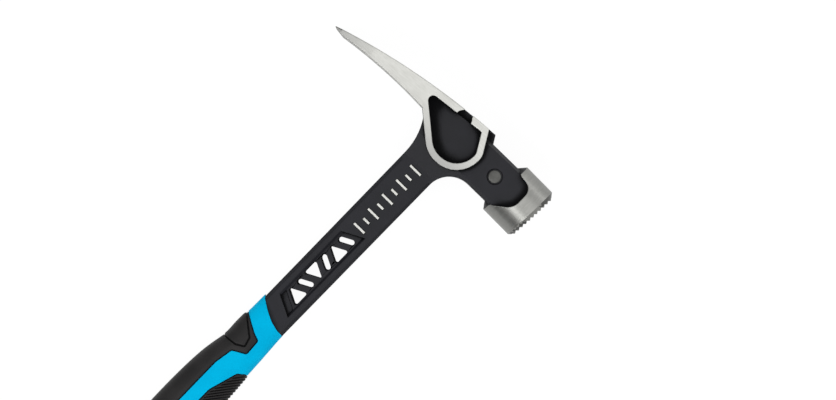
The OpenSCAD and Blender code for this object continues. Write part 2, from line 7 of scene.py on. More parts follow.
import bmesh
import bpy
import numpy as np
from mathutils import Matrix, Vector


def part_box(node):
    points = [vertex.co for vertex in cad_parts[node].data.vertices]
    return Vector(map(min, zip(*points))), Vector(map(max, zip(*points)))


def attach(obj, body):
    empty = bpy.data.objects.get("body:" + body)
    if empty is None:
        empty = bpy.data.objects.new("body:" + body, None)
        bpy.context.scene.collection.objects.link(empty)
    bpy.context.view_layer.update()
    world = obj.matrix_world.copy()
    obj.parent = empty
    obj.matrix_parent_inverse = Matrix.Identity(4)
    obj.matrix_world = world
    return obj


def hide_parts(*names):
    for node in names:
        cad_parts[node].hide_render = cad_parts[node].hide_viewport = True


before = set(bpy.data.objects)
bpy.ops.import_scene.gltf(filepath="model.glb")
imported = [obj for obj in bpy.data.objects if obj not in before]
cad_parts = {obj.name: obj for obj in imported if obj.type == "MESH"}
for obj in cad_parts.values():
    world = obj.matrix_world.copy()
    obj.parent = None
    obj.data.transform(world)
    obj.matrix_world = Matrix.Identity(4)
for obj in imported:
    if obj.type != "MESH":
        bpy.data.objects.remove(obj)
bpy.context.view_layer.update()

MM = 0.001
# the middle of the side pocket from the claw's tip and from the top of the head
TIP_TO_POCKET, TOP_TO_POCKET = 95 * MM, 16.9 * MM
steel_low, steel_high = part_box("forging")
pin_low, pin_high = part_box("cheek_pin")
POCKET = Vector((steel_low.x + TIP_TO_POCKET, steel_high.y - TOP_TO_POCKET,
                 (pin_low.z + pin_high.z) / 2))


def place(x, y, z=0.0):
    """A point of the hammer, in metres."""
    return POCKET + Vector((x, y, z)) * MM


def local(point):
    """A point in metres, in millimetres from the middle of the side pocket."""
    return (Vector(point) - POCKET) / MM


# Handling of pieces

HALF_SLAB = 30.0


def take(piece):
    """Makes this piece the only selected one."""
    if bpy.context.mode != "OBJECT":
        bpy.ops.object.mode_set(mode="OBJECT")
    bpy.ops.object.select_all(action="DESELECT")
    piece.select_set(True)
    bpy.context.view_layer.objects.active = piece


def open_all(piece):
    """Opens the piece for editing with all of it selected."""
    take(piece)
    bpy.ops.object.mode_set(mode="EDIT")
    bpy.ops.mesh.select_all(action="SELECT")


def choose(piece, kind, test):
    """Opens the piece for editing with only what passes the test selected."""
    take(piece)
    bpy.ops.object.mode_set(mode="EDIT")
    bpy.ops.mesh.select_mode(type=kind)
    bpy.ops.mesh.select_all(action="DESELECT")
    body = bmesh.from_edit_mesh(piece.data)
    body.normal_update()
    for part in {"EDGE": body.edges, "FACE": body.faces}[kind]:
        if test(part):
            part.select_set(True)
    bmesh.update_edit_mesh(piece.data)


def close_edit():
    bpy.ops.object.mode_set(mode="OBJECT")


def close_facing_out():
    """Turns all faces of the open piece outwards and closes it."""
    bpy.ops.mesh.select_all(action="SELECT")
    bpy.ops.mesh.normals_make_consistent(inside=False)
    close_edit()


def settle():
    """Puts the origin of the new piece at the world's, unrotated and unscaled."""
    bpy.ops.object.transform_apply(location=True, rotation=True, scale=True)


def finish_with(piece, kind, **values):
    """Adds a modifier to the piece and applies it."""
    take(piece)
    modifier = piece.modifiers.new(kind.lower(), kind)
    for name, value in values.items():
        setattr(modifier, name, value)
    bpy.ops.object.modifier_apply(modifier=modifier.name)


def subdivide(piece, levels):
    finish_with(piece, "SUBSURF", levels=levels, render_levels=levels)


def thicken(piece, depth):
    """Gives a surface this thickness in millimetres, inwards."""
    finish_with(piece, "SOLIDIFY", thickness=depth * MM, offset=-1)


def discard(piece):
    bpy.data.objects.remove(piece)


def smooth(piece, degrees):
    take(piece)
    bpy.ops.object.shade_smooth_by_angle(angle=math.radians(degrees))


def copy_of(piece, name):
    """A piece with its own copy of the mesh."""
    twin = bpy.data.objects.new(name, piece.data.copy())
    bpy.context.scene.collection.objects.link(twin)
    return twin


def cutter(name, outline):
    """A slab with this outline in millimetres, taller than the grip is thick."""
    bpy.ops.object.select_all(action="DESELECT")
    bpy.ops.mesh.primitive_circle_add(vertices=len(outline), radius=MM, fill_type="NGON")
    slab = bpy.context.object
    slab.name = name
    for vertex, (x, y) in zip(slab.data.vertices, outline):
        vertex.co = place(x, y, -HALF_SLAB)
    bpy.ops.object.mode_set(mode="EDIT")
    bpy.ops.mesh.select_all(action="SELECT")
    bpy.ops.mesh.extrude_region_move(
        TRANSFORM_OT_translate={"value": (0, 0, 2 * HALF_SLAB * MM)})
    close_facing_out()
    return slab


def cylinder(name, radius, depth, centre):
    """A standing cylinder, with its measures in metres."""
    bpy.ops.object.select_all(action="DESELECT")
    bpy.ops.mesh.primitive_cylinder_add(vertices=64, radius=radius, depth=depth, location=centre)
    piece = bpy.context.object
    piece.name = name
    settle()
    return piece


def soften(piece, test, width, segments=1):
    """Bevels the edges that pass the test, by a width in millimetres."""
    choose(piece, "EDGE", test)
    bpy.ops.mesh.bevel(offset=width * MM, segments=segments, profile=0.5, clamp_overlap=False)
    close_edit()


def cut(piece, tool):
    """Cuts the piece with a tool, which is then thrown away."""
    finish_with(piece, "BOOLEAN", object=tool, operation="DIFFERENCE", solver="EXACT")
    discard(tool)


def delete_faces(piece, test):
    choose(piece, "FACE", test)
    bpy.ops.mesh.delete(type="FACE")
    close_edit()


# Head and shank

HALF_HEAD = 15.0
HALF_CHEEK = 12.5
HALF_PANEL = 5.0
SLOT_SIDE = 8.0

POLL_R = 18.3
BARREL_X, BARREL_Y = 55.6, -1.85
BARREL_LEAN = math.radians(1.2)
BARREL_BACK = 45.2
TEETH_X = 66.2

# the long top edge of claw and head is one arc
ARC_X, ARC_Y, ARC_R = 38.42, -437.04, 454.4

PIN_X, PIN_Y = 35.6, -1.36
PIN_BORE_R = 4.4
PIN_RING_R = 5.1

SHANK_X = -1.0
MARKS_LOW, MARKS_TOP = -88, -28
HALF_MARKS = 5
WINDOWS_LOW, WINDOWS_TOP = -146, -86
HALF_WINDOW = 5.2


def fold(edge):
    """The angle at an edge in degrees, and 0 at an open one."""
    return math.degrees(edge.calc_face_angle(0))


def middle(edge):
    return local((edge.verts[0].co + edge.verts[1].co) / 2)


def barrel_distance(p):
    """Distance from the axis of the poll's barrel, which leans towards the handle."""
    axis_y = BARREL_Y - (p.x - BARREL_X) * math.tan(BARREL_LEAN)
    return math.hypot(p.y - axis_y, p.z)


def pin_distance(p):
    """Distance from the axis of the pin in the cheek."""
    return math.hypot(p.x - PIN_X, p.y - PIN_Y)


def top_of_head(x):
    """Height of the long top edge of claw and head."""
    return ARC_Y + math.sqrt(ARC_R ** 2 - (x - ARC_X) ** 2)


def at_marks(p):
    """Whether a place lies in the row of raised marks, seen from the side."""
    return MARKS_LOW < p.y < MARKS_TOP and abs(p.x - SHANK_X) < HALF_MARKS


def claw_sided(normal):
    """How far the wall of a window looks away from claw and butt, so that it is their side."""
    return normal.x * 0.72 + normal.y * 0.7


def is_detail(p):
    """The teeth, the hidden tang, the bores, the raised marks and the nail seat stay crisp."""
    teeth = p.x > TEETH_X - 1
    tang = p.y < -150
    pin_bore = pin_distance(p) < PIN_BORE_R
    magnet_bore = abs(p.z) < 5.6 and p.x > 14 and p.y < 13
    mark = abs(p.z) > 6.4 and at_marks(p)
    seat = p.x > 15.5 and p.y > 12 and abs(p.z) < 7
    return teeth or tang or pin_bore or magnet_bore or mark or seat


def claw_top(edge):
    """The long edges along the top of the claw, outside its nail slot."""
    p = middle(edge)
    a, b = (local(v.co) for v in edge.verts)
    along = abs(a.x - b.x) > 0.5 * (a - b).length
    on_top = p.x < -1 and p.y > top_of_head(p.x) - 1.0 and abs(p.z) > SLOT_SIDE
    return fold(edge) > 40 and along and on_top


def outer_edge(edge):
    """The other edges of the painted and ground steel."""
    long_enough = edge.calc_length() > 0.06 * MM
    return fold(edge) > 28 and long_enough and edge.is_convex and not is_detail(middle(edge))


def pin_mouth(edge):
    """The rim of the pin's bore on each cheek."""
    p = middle(edge)
    return fold(edge) > 60 and abs(p.z) > HALF_CHEEK - 0.3 and pin_distance(p) < PIN_BORE_R


def window_side(edge):
    """The edges of the windows on their claw side, where the panel's floor is worn round."""
    p = middle(edge)
    on_floor = abs(abs(p.z) - HALF_PANEL) < 0.2
    at_window = abs(p.x - SHANK_X) < HALF_WINDOW and p.y < WINDOWS_TOP
    claw_side = any(claw_sided(face.normal) > 0.3 for face in edge.link_faces)
    return fold(edge) > 60 and on_floor and at_window and claw_side


forging = copy_of(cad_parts["forging"], "head_and_shank")
open_all(forging)
bpy.ops.mesh.remove_doubles(threshold=0.004 * MM)
close_edit()
# the normals that came with the copy don't fit once its corners are merged
bpy.ops.mesh.customdata_custom_splitnormals_clear()
soften(forging, claw_top, 0.4)
soften(forging, window_side, 0.6)
soften(forging, outer_edge, 0.25)
soften(forging, pin_mouth, 0.6)
open_all(forging)
bpy.ops.mesh.dissolve_degenerate(threshold=0.01 * MM)
close_edit()
smooth(forging, 22)
finish_with(forging, "WEIGHTED_NORMAL", keep_sharp=True)

# Grip

GRIP_TOP = -147.0
GRIP_L = 242.1
PALM_W = 33.0
PALM_T = 26.4
COLLAR_W = 24.4
BUTT_Y = GRIP_TOP - GRIP_L
BUTT_ROUND = 0.24 * PALM_W
CAP_TOP = BUTT_Y + 40.0
LANYARD_Y = BUTT_Y + 15
LANYARD_R = 4.0
RING = 28
SQUARENESS = 0.8
SLEEVE_WALL = 2.8
PAD_SINK = 1.6
PAD_MARGIN = 1.6
PAD_DEPTH = 1.4
PANEL_RISE = 0.25
GROOVE_DEPTH = 0.9
RIB_SLOPE = math.radians(52)
RIB_PITCH = 1.5
RIB_RISE = 0.8
RIB_FOOT = 0.7

# far edges of the slabs that cut the grip: to each side, up the shank and beyond the butt
FAR_SIDE = 60
UP_SHANK = -100
PAST_BUTT = -420

# share of the grip's length, back and front in palm widths, half thickness in palm thicknesses
STATIONS = [
    (-0.04, 0.388, 0.361, 0.34), (0.02, 0.394, 0.364, 0.372), (0.06, 0.399, 0.372, 0.397),
    (0.1, 0.409, 0.388, 0.416), (0.135, 0.396, 0.402, 0.43), (0.165, 0.436, 0.41, 0.441),
    (0.2, 0.482, 0.424, 0.456), (0.25, 0.515, 0.448, 0.47), (0.345, 0.531, 0.471, 0.49),
    (0.475, 0.505, 0.48, 0.496), (0.63, 0.47, 0.464, 0.49), (0.76, 0.472, 0.49, 0.51),
    (0.845, 0.503, 0.57, 0.56), (0.91, 0.53, 0.672, 0.635), (0.955, 0.536, 0.716, 0.672),
    (1.0, 0.53, 0.72, 0.68)]

# slanted edge of collar and cap: share of the width across, height in palm widths
COLLAR = [(-0.8, 0.16), (-0.52, -0.02), (-0.44, -0.08), (-0.2, -0.19), (0.04, -0.28),
          (0.29, -0.335), (0.5, -0.345), (0.8, -0.36)]

# outlines: palm widths across, share of the grip's length, rounding in palm widths
BACK = [
    (-0.9, 0.03, 0), (-0.4, 0.06, 0), (-0.03, 0.0875, 0.03), (0.12, 0.095, 0.06),
    (0.14, 0.139, 0.06), (-0.11, 0.158, 0.05), (-0.17, 0.205, 0.2), (-0.165, 0.4, 0.1),
    (0.06, 0.47, 0.1), (0.06, 0.62, 0.1), (-0.19, 0.69, 0.1), (-0.2, 0.79, 0.1),
    (-0.9, 0.76, 0)]
FINGER = [
    (0.9, 0.168, 0), (0.36, 0.178, 0.03), (0.245, 0.19, 0.05), (0.2, 0.21, 0.05),
    (0.08, 0.265, 0.2), (0.08, 0.7, 0.2), (0.3, 0.775, 0.1), (0.9, 0.79, 0)]
PANELS = [
    [(-0.9, 0.02, 0), (-0.4, 0.066, 0), (-0.04, 0.104, 0.02), (0.01, 0.128, 0.04),
     (-0.14, 0.14, 0.03), (-0.34, 0.144, 0), (-0.9, 0.15, 0)],
    [(-0.9, 0.43, 0), (-0.3, 0.455, 0.06), (-0.07, 0.5, 0.06), (-0.07, 0.595, 0.06),
     (-0.3, 0.65, 0.06), (-0.9, 0.67, 0)]]


def eased(a, b, c, d, t):
    """Smooth value between the middle two of four, t of the way along."""
    return b + t / 2 * (c - a + t * (2 * a - 5 * b + 4 * c - d + t * (3 * (b - c) + d - a)))


def grip_rows():
    """Height, back, front and half thickness of each ring of the grip, down to the butt."""
    table = np.array(STATIONS)
    rows = []
    for i in range(len(table) - 1):
        four = [table[max(i - 1, 0)], table[i], table[i + 1], table[min(i + 2, len(table) - 1)]]
        rows += [eased(*four, 0.0), eased(*four, 0.5)]
    rows = [(GRIP_TOP - s * GRIP_L, b * PALM_W, f * PALM_W, t * PALM_T) for s, b, f, t in rows]
    # the rings near the butt make way for its rounding, which ends a hair short of the butt
    rows = [row for row in rows if row[0] > BUTT_Y + 8.5]
    _, back, front, half = STATIONS[-1]
    for turn in (0, 22.5, 45, 67.5, 90):
        a = math.radians(turn)
        inset = BUTT_ROUND * (1 - math.cos(a))
        rows.append((BUTT_Y + 0.02 + BUTT_ROUND * (1 - math.sin(a)), back * PALM_W - inset,
                     front * PALM_W - inset, half * PALM_T - inset))
    return rows


def grip_form(name):
    """The outer shape of the whole grip, closed at the butt and open at the top."""
    rows = grip_rows()
    bpy.ops.object.select_all(action="DESELECT")
    bpy.ops.mesh.primitive_circle_add(vertices=RING, radius=1, fill_type="NOTHING")
    form = bpy.context.object
    form.name = name
    y, back, front, half = rows[0]
    for i, vertex in enumerate(form.data.vertices):
        a = 2 * math.pi * i / RING
        c, s = math.cos(a), math.sin(a)
        x = (front if c > 0 else back) * abs(c) ** SQUARENESS * (1 if c > 0 else -1)
        z = half * abs(s) ** SQUARENESS * (1 if s > 0 else -1)
        vertex.co = place(SHANK_X + x, y, z)
    bpy.ops.object.mode_set(mode="EDIT")
    bpy.ops.mesh.select_all(action="SELECT")
    for before, after in zip(rows, rows[1:]):
        shift = ((after[2] - after[1]) - (before[2] - before[1])) / 2
        ring_middle = place(SHANK_X + (after[2] - after[1]) / 2, after[0])
        bpy.ops.mesh.extrude_region_move(
            TRANSFORM_OT_translate={"value": (shift * MM, (after[0] - before[0]) * MM, 0)})
        bpy.ops.transform.resize(
            value=((after[1] + after[2]) / (before[1] + before[2]), 1, after[3] / before[3]),
            center_override=ring_middle)
    # the butt closes with a ring of half the width and then its middle
    bpy.ops.mesh.extrude_region_move(TRANSFORM_OT_translate={"value": (0, 0, 0)})
    bpy.ops.transform.resize(value=(0.5, 1, 0.5), center_override=ring_middle)
    bpy.ops.mesh.extrude_region_move(TRANSFORM_OT_translate={"value": (0, 0, 0)})
    bpy.ops.mesh.merge(type="CENTER")
    close_facing_out()
    return form


def outline_of(rows):
    """The outline in millimetres, with rounded corners, from rows of places and roundings."""
    corners = [(np.array((SHANK_X + x * PALM_W, GRIP_TOP - s * GRIP_L)), r * PALM_W)
               for x, s, r in rows]
    points = []
    for i, (corner, r) in enumerate(corners):
        if r == 0:
            points.append(tuple(corner))
            continue
        before, after = corners[i - 1][0] - corner, corners[(i + 1) % len(corners)][0] - corner
        a, b = before / np.linalg.norm(before), after / np.linalg.norm(after)
        half = math.acos(np.clip(a @ b, -1, 1)) / 2
        reach = min(r / math.tan(half), 0.49 * min(np.linalg.norm(before), np.linalg.norm(after)))
        start, end = corner + a * reach, corner + b * reach
        for t in np.linspace(0, 1, 9):
            points.append(tuple((1 - t) ** 2 * start + 2 * t * (1 - t) * corner + t * t * end))
    return points


def slant(top, width):
    """The slanted edge across the grip at this height, over this width."""
    return [(SHANK_X + x * width, top + y * PALM_W) for x, y in COLLAR]


def slab_beyond(name, edge, front_y, far_y, back_y):
    """A slab from a slanted edge, carried on to both sides, to a far height."""
    return cutter(name, edge + [(FAR_SIDE, front_y), (FAR_SIDE, far_y),
                                (-FAR_SIDE, far_y), (-FAR_SIDE, back_y)])


def inside_distance(points, outline):
    """Distance of points from an outline in side view, positive inside it."""
    corners = np.array(outline)
    following = np.roll(corners, -1, axis=0)
    nearest = np.full(len(points), 1e9)
    crossings = np.zeros(len(points), int)
    for a, b in zip(corners, following):
        d = b - a
        t = np.clip(((points - a) @ d) / (d @ d), 0, 1)
        nearest = np.minimum(nearest, np.linalg.norm(points - a - t[:, None] * d, axis=1))
        spans = (a[1] > points[:, 1]) != (b[1] > points[:, 1])
        if abs(d[1]) > 1e-9:
            crossings += spans & (points[:, 0] < a[0] + (points[:, 1] - a[1]) / d[1] * d[0])
    return np.where(crossings % 2 == 1, nearest, -nearest)


def step(value, low, high):
    """0 below low, 1 above high and smooth in between."""
    t = np.clip((value - low) / (high - low), 0, 1)
    return t * t * (3 - 2 * t)


def vertex_table(piece):
    """Vertices in millimetres from the pocket, and their normals."""
    count = len(piece.data.vertices)
    places, normals = np.zeros(count * 3), np.zeros(count * 3)
    piece.data.vertices.foreach_get("co", places)
    piece.data.vertices.foreach_get("normal", normals)
    return (places.reshape(-1, 3) - np.array(POCKET)) / MM, normals.reshape(-1, 3)


def raise_by(piece, heights, places, normals):
    """Moves every vertex out along its normal by its own height in millimetres."""
    moved = (places + normals * heights[:, None]) * MM + np.array(POCKET)
    piece.data.vertices.foreach_set("co", moved.ravel())
    piece.data.update()


def keep_faces(piece, keep):
    """Deletes every face whose middle fails the test."""
    delete_faces(piece, lambda face: not keep(local(face.calc_center_median())))


def pad_of(name, outline):
    """The grip's surface under an outline, finely divided, with the places and normals of its
    vertices and their distance inside the outline."""
    pad = copy_of(grip, name)
    centres = np.zeros(len(pad.data.polygons) * 3)
    pad.data.polygons.foreach_get("center", centres)
    centres = (centres.reshape(-1, 3) - np.array(POCKET)) / MM
    inside = inside_distance(centres[:, :2], outline_of(outline)) > -PAD_MARGIN
    delete_faces(pad, lambda face: not inside[face.index])
    subdivide(pad, 2)
    places, normals = vertex_table(pad)
    return pad, places, normals, inside_distance(places[:, :2], outline_of(outline))


def pad_height(border, rise, swell, width):
    """Height of a pad over the grip's surface: sunk at its border, then a steep rise, and a
    gentle swell over this width inside the border."""
    return -PAD_SINK + rise * step(border, 0.0, 1.0) + swell * np.clip(border / width, 0, 1)


grip = grip_form("grip_form")
subdivide(grip, 2)

# sleeve: a thick tube between the collar and the butt cap, open where the pads are let in
sleeve = copy_of(grip, "sleeve")
keep_faces(sleeve, lambda p: p.y > CAP_TOP - 16)
subdivide(sleeve, 1)
thicken(sleeve, SLEEVE_WALL)
collar = slant(GRIP_TOP, COLLAR_W)
cut(sleeve, slab_beyond("collar_cut", collar, GRIP_TOP - 8, UP_SHANK, GRIP_TOP + 8))
seam = slant(CAP_TOP, PALM_W)
cut(sleeve, slab_beyond("seam_cut", seam, CAP_TOP - 10, PAST_BUTT, CAP_TOP + 6))
for outline in (BACK, FINGER):
    cut(sleeve, cutter("pad_cut", outline_of(outline)))
smooth(sleeve, 40)

# back pad: bevelled border and two panels set off by a groove
back_pad, places, normals, border = pad_of("back_pad_dressed", BACK)
height = pad_height(border, 1.7, 0.5, 2.8)
depth = GROOVE_DEPTH * step(places[:, 0], SHANK_X - 0.44 * PALM_W, SHANK_X - 0.36 * PALM_W)
for panel in PANELS:
    groove = inside_distance(places[:, :2], outline_of(panel))
    height -= depth * (1 - step(np.abs(groove), 0.15, 0.6)) * step(border, 0.3, 0.8)
    height += PANEL_RISE * step(groove, 0.2, 1.2)
raise_by(back_pad, height, places, normals)
finish_with(back_pad, "DECIMATE", ratio=0.6)
thicken(back_pad, PAD_DEPTH)
smooth(back_pad, 60)

# finger pad: slanted ribs that run round the front of the grip
finger_pad, places, normals, border = pad_of("finger_pad_dressed", FINGER)
across = (places[:, 1] - places[:, 0] * math.tan(RIB_SLOPE)) * math.cos(RIB_SLOPE)
wave = 0.5 + 0.5 * np.cos(2 * math.pi * across / RIB_PITCH)
ribbed = step(border, 0.8, 1.8)
height = pad_height(border, 1.9, 0.3, 2.0)
height += ribbed * (RIB_RISE * step(wave, 0.1, 0.6) - RIB_FOOT)
raise_by(finger_pad, height, places, normals)
thicken(finger_pad, PAD_DEPTH)
smooth(finger_pad, 60)


def lanyard_mouth(edge):
    """The rim of the lanyard hole on each side of the cap."""
    p = middle(edge)
    return fold(edge) > 40 and math.hypot(p.x - SHANK_X, p.y - LANYARD_Y) < LANYARD_R + 0.4


# butt cap: flared end with a chamfered lanyard hole
butt = copy_of(grip, "butt_cap_dressed")
keep_faces(butt, lambda p: p.y < CAP_TOP + 14)
choose(butt, "EDGE", lambda edge: edge.is_boundary)
bpy.ops.mesh.edge_face_add()
close_facing_out()
cut(butt, slab_beyond("seam_cut", seam, CAP_TOP - 10, UP_SHANK, CAP_TOP + 6))
cut(butt, cylinder("lanyard_drill", LANYARD_R * MM, 2 * HALF_SLAB * MM, place(SHANK_X, LANYARD_Y)))
soften(butt, lanyard_mouth, 0.8, 3)
smooth(butt, 40)
discard(grip)

# pin: a short cylinder with a chamfer round each end
pin = cylinder("pressed_pin", (pin_high.x - pin_low.x) / 2, pin_high.z - pin_low.z,
               (pin_low + pin_high) / 2)
soften(pin, lambda edge: fold(edge) > 60, 0.45, 2)
smooth(pin, 40)


# Finishes

class Wire:
    """An output of a node, which sums can be written with."""

    def __init__(self, nodes, socket):
        self.nodes = nodes
        self.socket = socket

    def sum(self, operation, first, second):
        return self.nodes.node("Math", {"operation": operation}, {0: first, 1: second})

    def __add__(self, other):
        return self.sum("ADD", self, other)

    def __radd__(self, other):
        return self.sum("ADD", other, self)

    def __sub__(self, other):
        return self.sum("SUBTRACT", self, other)

    def __rsub__(self, other):
        return self.sum("SUBTRACT", other, self)

    def __mul__(self, other):
        return self.sum("MULTIPLY", self, other)

    def __rmul__(self, other):
        return self.sum("MULTIPLY", other, self)

    def __abs__(self):
        return self.sum("ABSOLUTE", self, 0.0)

    def most(self, other):
        """The larger of the two."""
        return self.sum("MAXIMUM", self, other)


class Nodes:
    """The nodes of a material or of the studio round the table."""

    def __init__(self, owner):
        owner.use_nodes = True
        self.tree = owner.node_tree
        self.tree.nodes.clear()

    def node(self, kind, settings=None, sockets=None, out=0):
        node = self.tree.nodes.new("ShaderNode" + kind)
        for name, value in (settings or {}).items():
            setattr(node, name, value)
        for name, value in (sockets or {}).items():
            if isinstance(value, Wire):
                self.tree.links.new(value.socket, node.inputs[name])
            else:
                node.inputs[name].default_value = value
        return Wire(self, node.outputs[out]) if len(node.outputs) else None

    def ray(self, kind):
        """1 where the ray that arrives is of this kind."""
        return self.node("LightPath", out="Is " + kind + " Ray")

    def ease(self, value, low, high, to_low=0.0, to_high=1.0):
        return self.node("MapRange", {"interpolation_type": "SMOOTHSTEP"},
                         {"Value": value, "From Min": low, "From Max": high, "To Min": to_low,
                          "To Max": to_high})


class Finish(Nodes):
    """One material and the nodes it is made of."""

    def __init__(self, name):
        self.material = bpy.data.materials.new(name)
        super().__init__(self.material)

    def place(self):
        """Object coordinates in millimetres."""
        spot = self.node("TexCoord", out="Object")
        return self.node("VectorMath", {"operation": "SCALE"}, {0: spot, "Scale": 1000.0})

    def normal(self):
        return self.node("NewGeometry", out="Normal")

    def split(self, place):
        """The three lengths of a place."""
        apart = self.node("SeparateXYZ", {}, {0: place})
        return [Wire(self, apart.socket.node.outputs[i]) for i in range(3)]

    def stretched(self, place, size):
        """The place with each direction divided by its own length."""
        return self.node("VectorMath", {"operation": "DIVIDE"}, {0: place, 1: size})

    def noise(self, place, scale, detail=3.0, roughness=0.5):
        return self.node("TexNoise", {}, {"Vector": place, "Scale": scale, "Detail": detail,
                                          "Roughness": roughness})

    def blend(self, factor, first, second):
        """A mix of two colours. The node names its sockets alike, so they go by number."""
        return self.node("Mix", {"data_type": "RGBA"}, {0: factor, 6: first, 7: second}, out=2)

    def bump(self, height, strength, distance, normal=None):
        sockets = {"Height": height, "Strength": strength, "Distance": distance}
        if normal:
            sockets["Normal"] = normal
        return self.node("Bump", {}, sockets)

    def surface(self, painted_shade=None, **sockets):
        """The finish itself, and a dull near-black, painted shade, that takes its place as far as
        the first argument says.
        """
        shader = self.node("BsdfPrincipled", {},
                           {k.replace("_", " "): v for k, v in sockets.items()})
        if painted_shade:
            dull = self.node("BsdfPrincipled", {}, {
                "Base Color": (0.003, 0.003, 0.0035, 1), "Roughness": 0.85,
                "Specular IOR Level": 0.08})
            shader = self.node("MixShader", {}, {0: painted_shade, 1: shader, 2: dull})
        self.node("OutputMaterial", {}, {"Surface": shader})
        return self.material


def worn_edges(finish, radius):
    """The rounded normal, and a value of 0 on flat steel and up to 1 on its outer edges."""
    rounded = finish.node("Bevel", {"samples": 6}, {"Radius": radius})
    facing = finish.node("VectorMath", {"operation": "DOT_PRODUCT"},
                         {0: rounded, 1: finish.normal()}, out="Value")
    return rounded, finish.ease(facing, 0.995, 0.86)


def openness(finish, reach, lean=(0, 0, 0)):
    """1 in the open and less in corners and hollows, within this reach in metres."""
    leaning = finish.node("VectorMath", {"operation": "ADD"}, {0: finish.normal(), 1: lean})
    ahead = finish.node("VectorMath", {"operation": "NORMALIZE"}, {0: leaning})
    return finish.node("AmbientOcclusion", {"samples": 8, "only_local": True},
                       {"Distance": reach, "Normal": ahead}, out="AO")


def painted_shadow_black():
    """Painted shade: a dull near-black for the walls of the pin's ring and for the claw side of
    the windows' walls.
    """
    finish = Finish("painted_shadow_black")
    grain = finish.noise(finish.place(), 1.4, 2.0)
    base = finish.blend(grain, (0.002, 0.002, 0.0023, 1), (0.005, 0.005, 0.0055, 1))
    return finish.surface(
        Base_Color=base, Roughness=0.7 + 0.15 * grain, Specular_IOR_Level=0.1,
        Normal=finish.bump(grain, 0.2, 0.00005))


def satin_paint():
    """Black paint, worn on its edges, with a painted highlight along the top of the neck and
    painted shade in its hollows.
    """
    finish = Finish("satin_black_paint")
    place = finish.place()
    along = finish.split(place)[0]
    rounded, edge = worn_edges(finish, 0.0007)
    cast = finish.noise(place, 0.9, 4.0, 0.6)
    patch = finish.noise(place, 0.09, 3.0)
    colour = finish.blend(finish.ease(patch, 0.3, 0.7), (0.0071, 0.0073, 0.0103, 1),
                          (0.0108, 0.011, 0.015, 1))
    worn = edge * finish.ease(cast, 0.35, 0.7)
    colour = finish.blend(worn * 0.5, colour, (0.07, 0.07, 0.075, 1))
    # painted highlight: facets along the top of the neck that face up the handle at about 45
    # degrees are made lighter
    ahead, sky = finish.split(finish.normal())[1:]
    painted_glint = finish.ease(ahead * abs(sky), 0.4, 0.48) * finish.ease(along, 10, 14)
    painted_glint = painted_glint * finish.ease(cast, 0.2, 0.6, 0.3, 1.0)
    colour = finish.blend(painted_glint, colour, (0.042, 0.042, 0.045, 1))
    # painted shade: a shadow as if cast from the left in the pocket, darker narrow corners and a
    # dark hollow beside the poll
    shade = finish.ease(openness(finish, 0.01, (-0.52, -0.23, 0)), 0.73, 0.6)
    near = openness(finish, 0.005, (-0.05, -0.03, 0))
    corner = finish.ease(near, 0.78, 0.6)
    scallop = finish.ease(near, 0.97, 0.8) * finish.ease(along, 51, 56)
    return finish.surface(
        shade.most(corner.most(scallop)) * 0.95, Base_Color=colour,
        Roughness=0.42 + 0.14 * patch - 0.05 * cast, Specular_IOR_Level=0.22,
        Normal=finish.bump(cast, 0.25, 0.00006, rounded))


def bare_steel(name, grain, tone, painted_shade=0.3, fade=None):
    """Steel with streaks as long as the grain in each direction. The fade is a range in x and
    one in y, in millimetres of the frame, over which it comes up to its full tone."""
    finish = Finish(name)
    place = finish.place()
    rounded, _ = worn_edges(finish, 0.0005)
    streaks = finish.noise(finish.stretched(place, grain), 1.0, 4.0, 0.6)
    cloud = finish.noise(place, 0.12, 3.0)
    colour = finish.blend(finish.ease(0.75 * streaks + 0.25 * cloud, 0.3, 0.7),
                          (tone * 0.88, tone * 0.88, tone * 0.83, 1),
                          (tone * 1.1, tone * 1.1, tone * 1.05, 1))
    if fade:
        along, up = finish.split(place)[:2]
        away = 1.0 - finish.ease(along, fade[0], fade[1]) * finish.ease(up, fade[2], fade[3])
        colour = finish.blend(away, colour, (tone * 0.66, tone * 0.66, tone * 0.645, 1))
    # painted shade: narrow hollows go towards the dull near-black, as far as the given strength
    # says
    hollow_shade = finish.ease(openness(finish, 0.003), 0.95, 0.55)
    return finish.surface(
        hollow_shade * painted_shade, Base_Color=colour, Roughness=0.33 + 0.14 * streaks, Metallic=1.0,
        Normal=finish.bump(streaks, 0.25, 0.00003, rounded))


def rubber(name, colour, lighter, rough, gloss=0.2, painted_shade=0.95):
    """Moulded rubber or plastic with a fine grain and slightly lighter patches."""
    finish = Finish(name)
    place = finish.place()
    grain = finish.noise(place, 2.6, 3.0, 0.6)
    patch = finish.noise(place, 0.08, 2.0)
    base = finish.blend(finish.ease(patch, 0.3, 0.7), colour, lighter)
    # painted shade: narrow hollows, such as between the ribs and at the pads' borders, go towards
    # the dull near-black
    hollow_shade = finish.ease(openness(finish, 0.0016), 0.9, 0.5)
    return finish.surface(
        hollow_shade * painted_shade, Base_Color=base, Roughness=rough + 0.1 * grain, Specular_IOR_Level=gloss,
        Normal=finish.bump(grain, 0.22, 0.00008))


def finish_piece(piece, *materials):
    piece.data.materials.clear()
    for material in materials:
        piece.data.materials.append(material)


PAINTED, GROUND, TURNED, MARK, PAINTED_SHADOW, TOOTH_SHADE = range(6)
STEEL_FINISHES = (
    satin_paint(),
    bare_steel("ground_steel", (9.0, 0.5, 0.5), 0.46, 0.3, (-100, -50, 162, 192)),
    bare_steel("turned_steel", (0.4, 7.0, 7.0), 0.27, 0.85),
    bare_steel("mark_steel", (1.5, 1.5, 1.5), 0.5, 0.0),
    painted_shadow_black(),
    bare_steel("tooth_side_shade", (1.5, 1.5, 1.5), 0.08, 0.85))


